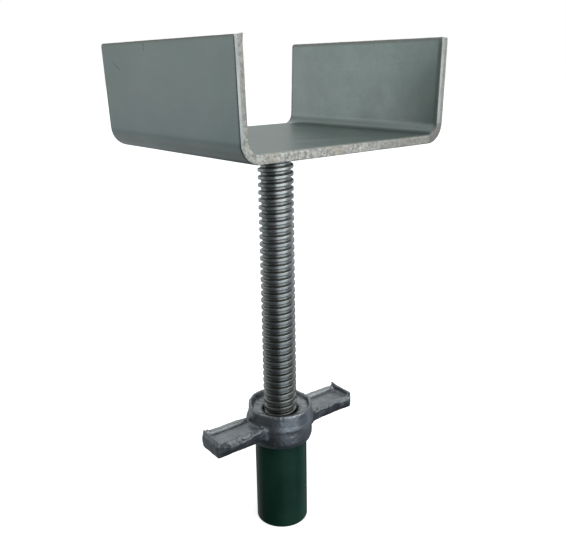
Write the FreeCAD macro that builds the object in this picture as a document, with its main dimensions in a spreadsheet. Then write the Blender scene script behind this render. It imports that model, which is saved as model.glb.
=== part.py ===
import FreeCAD, Part
import math
import os
import Sketcher
from FreeCAD import Vector

# U-head screw jack standing in the top of its prop tube.
# Frame: origin at the centre of the tube's foot, +Z up along the spindle,
# X across the channel of the head, Y along the channel.  Millimetres.

doc = FreeCAD.newDocument("u_head_jack")

# ---------------------------------------------------------------- dimensions
sheet = doc.addObject("Spreadsheet::Sheet", "Dimensions")

TABLE = [
    # folded head plate
    ("plate_under", 443.5, "height of the plate's underside"),
    ("plate_thick", 9.0, "plate thickness"),
    ("plate_width", 251.9, "width of the base over the flanges"),
    ("plate_length", 228.0, "length along the channel"),
    ("flange_height", 101.6, "height of the flanges"),
    ("flange_splay", 2.1, "outward lean of the flanges, degrees"),
    ("bend_inner", 11.0, "inside radius of the two folds"),
    ("corner_near", 1.3, "radius of the flanges' upper corners at the near end"),
    ("corner_far", 3.0, "radius of the flanges' upper corners at the far end"),
    ("edge_break", 0.5, "break on the sheared edges"),
    # weld under the plate
    ("weld_leg", 9.0, "leg of the fillet weld"),
    # threaded spindle
    ("spindle_radius", 19.0, "outside radius of the thread"),
    ("spindle_length", 400.0, "length of the bar"),
    ("spindle_neck", 14.0, "plain length below the plate"),
    ("end_chamfer", 4.0, "chamfer on the lower end"),
    ("thread_pitch", 8.0, "pitch"),
    ("thread_depth", 3.1, "depth of the thread"),
    ("thread_root", 2.4, "width of the groove's floor"),
    ("thread_mouth", 5.1, "width of the groove at the crest"),
    ("thread_phase", 2.3, "height of a groove's middle on the +X side above a whole pitch"),
    # cast wing nut
    ("nut_bottom", 105.5, "lower end of the skirt"),
    ("nut_top", 147.5, "top of the rim"),
    ("nut_radius", 36.6, "outside radius of the collar"),
    ("nut_foot_radius", 34.6, "outside radius at the lower end"),
    ("nut_taper", 6.0, "height of the taper at the lower end"),
    ("rim_wall", 3.4, "width of the rim's top"),
    ("dish_depth", 4.5, "depth of the dish inside the rim"),
    ("dish_fall", 2.2, "fall of the dish's floor towards the bore"),
    ("bore_mouth", 20.9, "radius of the bore's mouth"),
    ("thread_gap", 0.4, "clearance of the nut's thread"),
    ("wing_turn", 3.1, "angle of the wings off the X axis, degrees"),
    ("wing_reach", 96.8, "length of a wing from the axis"),
    ("wing_half", 18.6, "half width of a wing"),
    ("wing_bottom", 118.5, "underside of the wings"),
    ("wing_top", 132.9, "top of the wings' long rims"),
    ("wing_corner", 6.8, "plan radius of a wing's trailing corner"),
    ("cast_round", 2.0, "rounding of the wings' lower edges"),
    ("rim_round", 1.5, "rounding of the rims"),
    ("collar_round", 1.1, "rounding of the collar's rim and foot"),
    ("wing_root", 7.5, "radius where a wing runs into the collar"),
    ("tip_top", 137.4, "top of the wall at a wing's end"),
    ("tip_wall", 4.2, "thickness of the wall at a wing's end"),
    ("tray_depth", 3.0, "depth of the tray between the rims"),
    ("rim_width", 6.6, "width of a long rim"),
    # prop tube
    ("tube_radius", 30.15, "outside radius of the tube"),
    ("tube_wall", 3.2, "wall of the tube"),
    ("tube_top", 113.5, "upper end of the tube, under the nut's shoulder"),
    ("socket_gap", 0.5, "radial room between the tube and the nut's skirt"),
]

for row, (alias, number, note) in enumerate(TABLE, start=1):
    sheet.set("A%d" % row, note)
    sheet.set("B%d" % row, str(number))
    sheet.setAlias("B%d" % row, alias)
doc.recompute()


class Dim:
    """A number together with the cell formula that drives it."""

    def __init__(self, number, formula):
        self.number = float(number)
        self.formula = formula

    @staticmethod
    def of(other):
        if isinstance(other, Dim):
            return other
        return Dim(other, repr(float(other)))

    def __add__(self, other):
        other = Dim.of(other)
        return Dim(self.number + other.number, "(%s + %s)" % (self.formula, other.formula))

    def __radd__(self, other):
        return Dim.of(other) + self

    def __sub__(self, other):
        other = Dim.of(other)
        return Dim(self.number - other.number, "(%s - %s)" % (self.formula, other.formula))

    def __rsub__(self, other):
        return Dim.of(other) - self

    def __mul__(self, other):
        other = Dim.of(other)
        return Dim(self.number * other.number, "(%s * %s)" % (self.formula, other.formula))

    def __rmul__(self, other):
        return Dim.of(other) * self

    def __truediv__(self, other):
        other = Dim.of(other)
        return Dim(self.number / other.number, "(%s / %s)" % (self.formula, other.formula))

    def __neg__(self):
        return Dim(-self.number, "(0 - %s)" % self.formula)


def tangent(angle):
    return Dim(math.tan(math.radians(angle.number)), "tan(%s * 1 deg)" % angle.formula)


def cosine(angle):
    return Dim(math.cos(math.radians(angle.number)), "cos(%s * 1 deg)" % angle.formula)


def sine(angle):
    return Dim(math.sin(math.radians(angle.number)), "sin(%s * 1 deg)" % angle.formula)


def root(amount):
    return Dim(math.sqrt(amount.number), "sqrt(%s)" % amount.formula)


D = {alias: Dim(number, "Dimensions." + alias) for alias, number, note in TABLE}


# ------------------------------------------------------------------- helpers
def new_body(label):
    body = doc.addObject("PartDesign::Body", label)
    body.Label = label
    return body


def origin_item(body, role):
    return next(item for item in body.Origin.OriginFeatures if item.Role == role)


def new_sketch(body, name, role, lift=None):
    sketch = body.newObject("Sketcher::SketchObject", name)
    sketch.AttachmentSupport = (origin_item(body, role), [""])
    sketch.MapMode = "FlatFace"
    if lift is not None:
        sketch.AttachmentOffset = FreeCAD.Placement(Vector(0, 0, lift.number), FreeCAD.Rotation())
        sketch.setExpression("AttachmentOffset.Base.z", lift.formula)
    return sketch


def drive(sketch, constraint, dim):
    """Add a dimension to a sketch and bind it to its cells."""
    index = sketch.addConstraint(constraint)
    sketch.setExpression("Constraints[%d]" % index, dim.formula)
    return index


def pin(sketch, geo, pos, x, y):
    """Hold a sketch point at driven distances from the sketch's origin."""
    x, y = Dim.of(x), Dim.of(y)
    if abs(x.number) < 1e-9:
        sketch.addConstraint(Sketcher.Constraint("PointOnObject", geo, pos, -2))
    else:
        drive(sketch, Sketcher.Constraint("DistanceX", -1, 1, geo, pos, x.number), x)
    if abs(y.number) < 1e-9:
        sketch.addConstraint(Sketcher.Constraint("PointOnObject", geo, pos, -1))
    else:
        drive(sketch, Sketcher.Constraint("DistanceY", -1, 1, geo, pos, y.number), y)


def polygon(sketch, corners):
    """Closed polygon with every corner pinned."""
    first = sketch.GeometryCount
    count = len(corners)
    spots = [Vector(Dim.of(x).number, Dim.of(y).number, 0) for x, y in corners]
    for i in range(count):
        sketch.addGeometry(Part.LineSegment(spots[i], spots[(i + 1) % count]))
    for i in range(count):
        sketch.addConstraint(
            Sketcher.Constraint("Coincident", first + i, 2, first + (i + 1) % count, 1))
    for i, (x, y) in enumerate(corners):
        pin(sketch, first + i, 1, x, y)


def ring(sketch, radius):
    """Circle about the sketch's origin."""
    geo = sketch.addGeometry(Part.Circle(Vector(0, 0, 0), Vector(0, 0, 1), radius.number))
    sketch.addConstraint(Sketcher.Constraint("Coincident", geo, 3, -1, 1))
    drive(sketch, Sketcher.Constraint("Radius", geo, radius.number), radius)


def pad(body, name, sketch, length, symmetric=False):
    feature = body.newObject("PartDesign::Pad", name)
    feature.Profile = sketch
    feature.SideType = "Symmetric" if symmetric else "One side"
    feature.Length = length.number
    feature.setExpression("Length", length.formula)
    return feature


def turn(body, name, sketch, kind="PartDesign::Revolution"):
    feature = body.newObject(kind, name)
    feature.Profile = sketch
    feature.ReferenceAxis = (sketch, ["V_Axis"])
    feature.Angle = 360
    return feature


def edges_where(shape, test):
    return ["Edge%d" % n for n, edge in enumerate(shape.Edges, start=1) if test(edge)]


def fillet(body, name, base, names, radius, kind="PartDesign::Fillet"):
    feature = body.newObject(kind, name)
    feature.Base = (base, names)
    prop = "Radius" if kind.endswith("Fillet") else "Size"
    setattr(feature, prop, radius.number)
    feature.setExpression(prop, radius.formula)
    return feature


def must_change(before, after, sign, what):
    """A cut has to take material away and an addition has to bring some."""
    if (after - before) * sign <= 1.0:
        raise RuntimeError("%s changed nothing: %.1f -> %.1f" % (what, before, after))


# ------------------------------------------------------------------- u_plate
# One plate folded twice into a channel; the flanges lean slightly outwards.
plate = new_body("u_plate")
lean = tangent(D["flange_splay"])
slope = cosine(D["flange_splay"])
low = D["plate_under"]
half = D["plate_width"] / 2
wall = D["plate_thick"]
# the flange's inner face is parallel to its outer face, a plate's thickness in
inset = wall / slope
top_out_x = half + D["flange_height"] * lean
top_in_x = top_out_x - wall * slope
top_in_z = low + D["flange_height"] + wall * sine(D["flange_splay"])
floor_x = half + wall * lean - inset

section = new_sketch(plate, "channel_section", "XZ_Plane")
polygon(section, [
    (-half, low),
    (half, low),
    (top_out_x, low + D["flange_height"]),
    (top_in_x, top_in_z),
    (floor_x, low + wall),
    (-floor_x, low + wall),
    (-top_in_x, top_in_z),
    (-top_out_x, low + D["flange_height"]),
])
blank = pad(plate, "channel", section, D["plate_length"], symmetric=True)
doc.recompute()


def along_y(edge):
    direction = edge.tangentAt(edge.FirstParameter)
    return abs(direction.y) > 0.999


outer_folds = edges_where(blank.Shape, lambda e: along_y(e) and abs(e.CenterOfMass.z - low.number) < 0.01)
outer = fillet(plate, "outer_folds", blank, outer_folds, D["bend_inner"] + D["plate_thick"])
doc.recompute()
inner_folds = edges_where(
    outer.Shape, lambda e: along_y(e) and abs(e.CenterOfMass.z - (low + wall).number) < 0.01
    and abs(abs(e.CenterOfMass.x) - floor_x.number) < 0.01)
inner = fillet(plate, "inner_folds", outer, inner_folds, D["bend_inner"])
doc.recompute()


def flange_corner(edge):
    spot = edge.CenterOfMass
    direction = edge.tangentAt(edge.FirstParameter)
    return (spot.z > top_in_z.number - 2 and abs(direction.y) < 0.01
            and abs(abs(spot.y) - D["plate_length"].number / 2) < 0.01)


near_corners = fillet(
    plate, "near_corners", inner,
    edges_where(inner.Shape, lambda e: flange_corner(e) and e.CenterOfMass.y < 0), D["corner_near"])
doc.recompute()
corners = fillet(
    plate, "far_corners", near_corners,
    edges_where(near_corners.Shape, lambda e: flange_corner(e) and e.CenterOfMass.y > 0), D["corner_far"])
doc.recompute()


def sheared_edge(edge):
    spot = edge.CenterOfMass
    if abs(abs(spot.y) - D["plate_length"].number / 2) < 0.01:
        return True
    return along_y(edge) and spot.z > low.number + D["flange_height"].number - 1


breaks = fillet(plate, "edge_breaks", corners, edges_where(corners.Shape, sheared_edge), D["edge_break"])
doc.recompute()
plate.Tip = breaks

# ------------------------------------------------------------------- spindle
# Round bar with a coarse right-hand thread, plain under the plate.
spindle = new_body("spindle")
bar_low = D["plate_under"] - D["spindle_length"]
bar_section = new_sketch(spindle, "bar_section", "XZ_Plane")
polygon(bar_section, [
    (0, bar_low),
    (D["spindle_radius"] - D["end_chamfer"], bar_low),
    (D["spindle_radius"], bar_low + D["end_chamfer"]),
    (D["spindle_radius"], D["plate_under"]),
    (0, D["plate_under"]),
])
bar = turn(spindle, "bar", bar_section)
doc.recompute()

# the groove starts a whole number of pitches below the bar's lower end
groove_z = 4 * D["thread_pitch"] + D["thread_phase"]
over = Dim(0.6, "0.6")
flank = (D["thread_mouth"] - D["thread_root"]) / (2 * D["thread_depth"])
groove_floor = D["spindle_radius"] - D["thread_depth"]
groove_section = new_sketch(spindle, "groove_section", "XZ_Plane")
polygon(groove_section, [
    (groove_floor, groove_z - D["thread_root"] / 2),
    (D["spindle_radius"] + over, groove_z - D["thread_mouth"] / 2 - over * flank),
    (D["spindle_radius"] + over, groove_z + D["thread_mouth"] / 2 + over * flank),
    (groove_floor, groove_z + D["thread_root"] / 2),
])
groove = spindle.newObject("PartDesign::SubtractiveHelix", "thread")
groove.Profile = groove_section
groove.ReferenceAxis = (groove_section, ["V_Axis"])
groove.Mode = "pitch-height-angle"
groove.Pitch = D["thread_pitch"].number
groove.setExpression("Pitch", D["thread_pitch"].formula)
thread_rise = D["plate_under"] - D["spindle_neck"] - groove_z
groove.Height = thread_rise.number
groove.setExpression("Height", thread_rise.formula)
groove.Angle = 0
groove.LeftHanded = False
groove.Reversed = False
doc.recompute()
must_change(bar.Shape.Volume, groove.Shape.Volume, -1, "spindle thread")
spindle.Tip = groove

# ----------------------------------------------------------------- weld_bead
# Fillet weld all round the bar's top end, under the plate.
weld = new_body("weld_bead")
weld_section = new_sketch(weld, "weld_section", "XZ_Plane")
leg = D["weld_leg"]
polygon(weld_section, [
    (D["spindle_radius"], D["plate_under"]),
    (D["spindle_radius"], D["plate_under"] - leg),
    (D["spindle_radius"] + leg * 0.22, D["plate_under"] - leg * 0.94),
    (D["spindle_radius"] + leg * 0.60, D["plate_under"] - leg * 0.60),
    (D["spindle_radius"] + leg * 0.94, D["plate_under"] - leg * 0.22),
    (D["spindle_radius"] + leg, D["plate_under"]),
])
bead = turn(weld, "bead", weld_section)
doc.recompute()
weld.Tip = bead

# ------------------------------------------------------------------ jack_nut
# One casting: a collar with a skirt over the tube and two trayed wings.
nut = new_body("jack_nut")
wing_rise = D["wing_top"] - D["wing_bottom"]
R = D["nut_radius"]
r_root = D["wing_root"]
w_half = D["wing_half"]

# plan of one wing: straight sides that run into the collar on an arc
plan = new_sketch(nut, "wing_plan", "XY_Plane", D["wing_bottom"])
arc_y = w_half + r_root
arc_x = root((R + r_root) * (R + r_root) - arc_y * arc_y)
meet_x = arc_x * (R / (R + r_root))
meet_y = arc_y * (R / (R + r_root))
reach = D["wing_reach"]


def wing_side(sketch, sign):
    """Arc at the root of a wing, tangent to its side and to the collar."""
    centre = Vector(arc_x.number, sign * arc_y.number, 0)
    side_angle = -math.pi / 2 if sign > 0 else math.pi / 2
    meet_angle = math.atan2(sign * (meet_y.number - arc_y.number), meet_x.number - arc_x.number)
    if sign > 0:
        start, end = meet_angle, side_angle
    else:
        start, end = side_angle, meet_angle
    while end < start:
        end += 2 * math.pi
    circle = Part.Circle(centre, Vector(0, 0, 1), r_root.number)
    return sketch.addGeometry(Part.ArcOfCircle(circle, start, end))


axis_to_meet_up = plan.addGeometry(Part.LineSegment(Vector(0, 0, 0), Vector(meet_x.number, meet_y.number, 0)))
arc_up = wing_side(plan, 1)
side_up = plan.addGeometry(Part.LineSegment(Vector(arc_x.number, w_half.number, 0), Vector(reach.number, w_half.number, 0)))
tip = plan.addGeometry(Part.LineSegment(Vector(reach.number, w_half.number, 0), Vector(reach.number, -w_half.number, 0)))
side_down = plan.addGeometry(Part.LineSegment(Vector(reach.number, -w_half.number, 0), Vector(arc_x.number, -w_half.number, 0)))
arc_down = wing_side(plan, -1)
axis_to_meet_down = plan.addGeometry(Part.LineSegment(Vector(meet_x.number, -meet_y.number, 0), Vector(0, 0, 0)))
join = Sketcher.Constraint
plan.addConstraint(join("Coincident", axis_to_meet_up, 2, arc_up, 1))
plan.addConstraint(join("Coincident", arc_up, 2, side_up, 1))
plan.addConstraint(join("Coincident", side_up, 2, tip, 1))
plan.addConstraint(join("Coincident", tip, 2, side_down, 1))
plan.addConstraint(join("Coincident", side_down, 2, arc_down, 1))
plan.addConstraint(join("Coincident", arc_down, 2, axis_to_meet_down, 1))
plan.addConstraint(join("Coincident", axis_to_meet_down, 2, axis_to_meet_up, 1))
pin(plan, axis_to_meet_up, 1, 0, 0)
pin(plan, arc_up, 3, arc_x, arc_y)
pin(plan, arc_down, 3, arc_x, -arc_y)
pin(plan, side_up, 1, arc_x, w_half)
pin(plan, side_up, 2, reach, w_half)
pin(plan, side_down, 1, reach, -w_half)
pin(plan, side_down, 2, arc_x, -w_half)
drive(plan, join("DistanceX", -1, 1, axis_to_meet_up, 2, meet_x.number), meet_x)
drive(plan, join("DistanceX", -1, 1, axis_to_meet_down, 1, meet_x.number), meet_x)
wing = pad(nut, "wing", plan, wing_rise)
doc.recompute()

# wall across the wing's end, a little taller than the long rims
tip_plan = new_sketch(nut, "tip_plan", "XY_Plane", D["wing_bottom"])
polygon(tip_plan, [
    (reach - D["tip_wall"], -w_half),
    (reach, -w_half),
    (reach, w_half),
    (reach - D["tip_wall"], w_half),
])
tip_wall = pad(nut, "tip_wall", tip_plan, D["tip_top"] - D["wing_bottom"])
doc.recompute()
volume = tip_wall.Shape.Volume

# one corner of the end is swept round
corner_plan = new_sketch(nut, "corner_plan", "XY_Plane", D["wing_bottom"])
r_corner = D["wing_corner"]
hub_x, hub_y = reach - r_corner, r_corner - w_half
sweep = Part.Circle(Vector(hub_x.number, hub_y.number, 0), Vector(0, 0, 1), r_corner.number)
bow = corner_plan.addGeometry(Part.ArcOfCircle(sweep, 1.5 * math.pi, 2 * math.pi))
outside = [(reach, hub_y), (reach + 2, hub_y), (reach + 2, -w_half - 2), (hub_x, -w_half - 2), (hub_x, -w_half)]
for (x0, y0), (x1, y1) in zip(outside[:-1], outside[1:]):
    corner_plan.addGeometry(Part.LineSegment(Vector(x0.number, y0.number, 0), Vector(x1.number, y1.number, 0)))
for line in range(4):
    corner_plan.addConstraint(join("Coincident", bow + line, 2, bow + line + 1, 1))
    if line > 0:
        pin(corner_plan, bow + 1 + line, 1, *outside[line])
drive(corner_plan, join("DistanceY", -1, 1, bow, 2, hub_y.number), hub_y)
corner_plan.addConstraint(join("Coincident", bow + 4, 2, bow, 1))
pin(corner_plan, bow, 1, *outside[4])
pin(corner_plan, bow, 3, hub_x, hub_y)
swept = nut.newObject("PartDesign::Pocket", "swept_corner")
swept.Profile = corner_plan
swept_rise = D["tip_top"] - D["wing_bottom"] + 1
swept.Length = swept_rise.number
swept.setExpression("Length", swept_rise.formula)
swept.Reversed = True
doc.recompute()
must_change(volume, swept.Shape.Volume, -1, "swept corner")
volume = swept.Shape.Volume

# tray in the wing's top, between the two rims and the end wall
tray_plan = new_sketch(nut, "tray_plan", "XY_Plane", D["wing_top"])
tray_half = w_half - D["rim_width"]
polygon(tray_plan, [
    (0, -tray_half),
    (reach - D["tip_wall"], -tray_half),
    (reach - D["tip_wall"], tray_half),
    (0, tray_half),
])
tray = nut.newObject("PartDesign::Pocket", "tray")
tray.Profile = tray_plan
tray.Length = D["tray_depth"].number
tray.setExpression("Length", D["tray_depth"].formula)
tray.Reversed = False
doc.recompute()
must_change(volume, tray.Shape.Volume, -1, "tray")


def near(value, target):
    return abs(value - target) < 0.02


def level(edge, height):
    box = edge.BoundBox
    return near(box.ZMin, height.number) and near(box.ZMax, height.number)


def off_axis(edge):
    return min(math.hypot(v.X, v.Y) for v in edge.Vertexes) > R.number - 1


# cast roundings: under the wing, along the rims and over the end wall
under = fillet(
    nut, "under_round", tray,
    edges_where(tray.Shape, lambda e: level(e, D["wing_bottom"]) and off_axis(e)), D["cast_round"])
doc.recompute()


def rim_edge(edge):
    if level(edge, D["wing_top"]):
        spot = edge.CenterOfMass
        return off_axis(edge) and (near(abs(spot.y), w_half.number))
    return False


rims = fillet(nut, "rim_round", under, edges_where(under.Shape, rim_edge), D["rim_round"])
doc.recompute()
tips = fillet(
    nut, "tip_round", rims, edges_where(rims.Shape, lambda e: level(e, D["tip_top"])), D["rim_round"])
doc.recompute()

# the second wing is the first one turned half round
pair = nut.newObject("PartDesign::PolarPattern", "both_wings")
pair.TransformMode = "Whole shape"
pair.Axis = (plan, ["N_Axis"])
pair.Angle = 360
pair.Occurrences = 2
nut.Tip = pair
doc.recompute()
must_change(tips.Shape.Volume, pair.Shape.Volume, 1, "second wing")

# collar with its dished top
collar_section = new_sketch(nut, "collar_section", "XZ_Plane")
dish_low = D["nut_top"] - D["dish_depth"] - D["dish_fall"]
polygon(collar_section, [
    (0, D["nut_bottom"]),
    (D["nut_foot_radius"], D["nut_bottom"]),
    (R, D["nut_bottom"] + D["nut_taper"]),
    (R, D["nut_top"]),
    (R - D["rim_wall"], D["nut_top"]),
    (R - D["rim_wall"] - 1.2, D["nut_top"] - D["dish_depth"]),
    (D["bore_mouth"], dish_low),
    (0, dish_low),
])
collar = turn(nut, "collar", collar_section)
doc.recompute()
must_change(pair.Shape.Volume, collar.Shape.Volume, 1, "collar")

# the dish again, where the wings' roots reach under it, with the bore and socket
hollow_section = new_sketch(nut, "hollow_section", "XZ_Plane")
bore = D["spindle_radius"] - D["thread_depth"] + D["thread_gap"]
socket = D["tube_radius"] + D["socket_gap"]
lead = D["bore_mouth"] - bore
polygon(hollow_section, [
    (0, D["nut_bottom"] - 1),
    (socket, D["nut_bottom"] - 1),
    (socket, D["tube_top"]),
    (bore + 3, D["tube_top"]),
    (bore, D["tube_top"] + 3),
    (bore, dish_low - lead),
    (D["bore_mouth"], dish_low),
    (R - D["rim_wall"] - 1.2, D["nut_top"] - D["dish_depth"]),
    (R - D["rim_wall"], D["nut_top"]),
    (R - D["rim_wall"], D["nut_top"] + 1),
    (0, D["nut_top"] + 1),
])
hollow = turn(nut, "hollow", hollow_section, "PartDesign::Groove")
doc.recompute()
must_change(collar.Shape.Volume, hollow.Shape.Volume, -1, "bore and socket")


def collar_edge(edge):
    if level(edge, D["nut_top"]):
        return True
    return level(edge, D["nut_bottom"]) and near(edge.Curve.Radius, D["nut_foot_radius"].number)


rounded = fillet(nut, "collar_round", hollow, edges_where(hollow.Shape, collar_edge), D["collar_round"])
doc.recompute()

# internal thread: its groove takes the spindle's crest with room all round
crest = D["thread_pitch"] - D["thread_mouth"]
crest_z = 12 * D["thread_pitch"] + D["thread_phase"] + D["thread_pitch"] / 2 \
    - D["thread_pitch"] * D["wing_turn"] / 360
top_r = D["spindle_radius"] + D["thread_gap"]
half_top = crest / 2 + D["thread_gap"]
inner_r = bore - over
half_inner = half_top + (top_r - inner_r) * flank
nut_groove_section = new_sketch(nut, "nut_groove_section", "XZ_Plane")
polygon(nut_groove_section, [
    (inner_r, crest_z - half_inner),
    (top_r, crest_z - half_top),
    (top_r, crest_z + half_top),
    (inner_r, crest_z + half_inner),
])
nut_thread = nut.newObject("PartDesign::SubtractiveHelix", "nut_thread")
nut_thread.Profile = nut_groove_section
nut_thread.ReferenceAxis = (nut_groove_section, ["V_Axis"])
nut_thread.Mode = "pitch-height-angle"
nut_thread.Pitch = D["thread_pitch"].number
nut_thread.setExpression("Pitch", D["thread_pitch"].formula)
nut_rise = D["nut_top"] + 6 - crest_z
nut_thread.Height = nut_rise.number
nut_thread.setExpression("Height", nut_rise.formula)
nut_thread.Angle = 0
nut_thread.LeftHanded = False
nut_thread.Reversed = False
doc.recompute()
must_change(rounded.Shape.Volume, nut_thread.Shape.Volume, -1, "nut thread")
nut.Tip = nut_thread
nut.Placement = FreeCAD.Placement(Vector(0, 0, 0), FreeCAD.Rotation(Vector(0, 0, 1), -D["wing_turn"].number))
nut.setExpression("Placement.Rotation.Angle", "-Dimensions.wing_turn * 1 deg")

# ---------------------------------------------------------------------- tube
# Round tube with its ends cut square.
tube = new_body("tube")
tube_section = new_sketch(tube, "tube_section", "XY_Plane")
ring(tube_section, D["tube_radius"])
ring(tube_section, D["tube_radius"] - D["tube_wall"])
tube_pad = pad(tube, "tube_wall_pad", tube_section, D["tube_top"])
doc.recompute()
tube.Tip = tube_pad

# ---------------------------------------------------------- checks and files
doc.recompute()
for item in doc.Objects:
    if "Invalid" in item.State or "Error" in item.State:
        raise RuntimeError("%s is %s" % (item.Name, item.State))

bodies = [plate, weld, spindle, nut, tube]
for body in bodies:
    shape = body.Shape
    if shape.isNull() or not shape.isValid() or len(shape.Solids) != 1:
        raise RuntimeError("%s has no single valid solid" % body.Label)

os.makedirs("parts", exist_ok=True)
for body in bodies:
    body.Shape.exportStep("parts/%s.step" % body.Label)
    print("%-10s %9.0f mm3" % (body.Label, body.Shape.Volume))
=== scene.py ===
import math

import bmesh
import bpy
import numpy as np
from mathutils import Matrix, Vector


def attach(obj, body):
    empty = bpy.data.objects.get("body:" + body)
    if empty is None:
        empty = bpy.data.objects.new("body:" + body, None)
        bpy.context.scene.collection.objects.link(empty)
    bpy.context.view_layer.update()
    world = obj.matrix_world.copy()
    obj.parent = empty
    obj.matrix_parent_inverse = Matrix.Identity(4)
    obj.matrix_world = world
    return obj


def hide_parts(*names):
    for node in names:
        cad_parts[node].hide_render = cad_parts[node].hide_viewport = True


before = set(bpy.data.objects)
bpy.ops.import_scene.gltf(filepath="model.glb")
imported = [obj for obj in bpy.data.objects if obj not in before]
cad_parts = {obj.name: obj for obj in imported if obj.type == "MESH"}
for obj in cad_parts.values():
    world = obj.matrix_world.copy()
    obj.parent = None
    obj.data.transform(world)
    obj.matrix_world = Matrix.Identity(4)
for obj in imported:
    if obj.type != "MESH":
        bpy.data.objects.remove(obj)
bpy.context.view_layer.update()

MM = 0.001


# --------------------------------------------------------------------- tools
def lattice(i, j, k, seed):
    n = (i * 374761393 + j * 668265263 + k * 1440662683 + seed * 974634163) & 0xFFFFFFFF
    n = ((n ^ (n >> 13)) * 1274126177) & 0xFFFFFFFF
    n = n ^ (n >> 16)
    return (n & 0xFFFFFF) / float(0xFFFFFF) * 2.0 - 1.0


def noise3(points, cell, seed=0):
    """Smooth lattice noise from -1 to 1, at points in millimetres."""
    q = np.asarray(points, float) / cell
    base = np.floor(q).astype(np.int64)
    f = q - base
    w = f * f * f * (f * (f * 6 - 15) + 10)
    total = np.zeros(len(q))
    for dx in (0, 1):
        for dy in (0, 1):
            for dz in (0, 1):
                share = (w[:, 0] if dx else 1 - w[:, 0]) * (w[:, 1] if dy else 1 - w[:, 1]) * (w[:, 2] if dz else 1 - w[:, 2])
                total += share * lattice(base[:, 0] + dx, base[:, 1] + dy, base[:, 2] + dz, seed)
    return total


def fbm(points, cell, octaves, seed=0):
    total, size = 0.0, 1.0
    for o in range(octaves):
        total = total + size * noise3(points, cell / 2 ** o, seed + 31 * o)
        size *= 0.5
    return total


def step(x, low, high):
    w = np.clip((np.asarray(x, float) - low) / (high - low), 0, 1)
    return w * w * (3 - 2 * w)


def build(name, verts, faces, marks=None):
    """A mesh object from points in millimetres, faces turned outwards and shaded smooth."""
    mesh = bpy.data.meshes.new(name)
    mesh.from_pydata((np.asarray(verts, float) * MM).tolist(), [], faces)
    for key, values in (marks or {}).items():
        layer = mesh.attributes.new(key, "FLOAT", "POINT")
        layer.data.foreach_set("value", np.asarray(values, np.float32))
    bm = bmesh.new()
    bm.from_mesh(mesh)
    bmesh.ops.recalc_face_normals(bm, faces=bm.faces)
    if bm.calc_volume(signed=True) < 0:
        bmesh.ops.reverse_faces(bm, faces=bm.faces)
    bm.to_mesh(mesh)
    bm.free()
    mesh.polygons.foreach_set("use_smooth", np.ones(len(mesh.polygons), bool))
    mesh.update()
    obj = bpy.data.objects.new(name, mesh)
    bpy.context.scene.collection.objects.link(obj)
    return obj


def hand_over(obj, body, node, material):
    obj.data.materials.clear()
    obj.data.materials.append(material)
    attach(obj, body)
    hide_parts(node)


# -------------------------------------------------------------------- camera
# The view that the photograph was taken from, solved from the head's corners.
yaw, pitch, roll = math.radians(39.311), math.radians(16.834), math.radians(1.0143)
forward = Vector((math.sin(yaw) * math.cos(pitch), math.cos(yaw) * math.cos(pitch), -math.sin(pitch)))
flat_right = Vector((math.cos(yaw), -math.sin(yaw), 0))
flat_down = forward.cross(flat_right)
right = flat_right * math.cos(roll) + flat_down * math.sin(roll)
down = flat_down * math.cos(roll) - flat_right * math.sin(roll)
lens = bpy.data.cameras.new("camera")
lens.sensor_width = 36.0
lens.lens = 686.06 * 36.0 / 566.0
lens.clip_start, lens.clip_end = 0.01, 60.0
camera = bpy.data.objects.new("camera", lens)
bpy.context.scene.collection.objects.link(camera)
turned = Matrix((right, -down, -forward)).transposed()
camera.matrix_world = Matrix.Translation(Vector((-450.186, -559.174, 522.296)) * MM) @ turned.to_4x4()
bpy.context.scene.camera = camera


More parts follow.
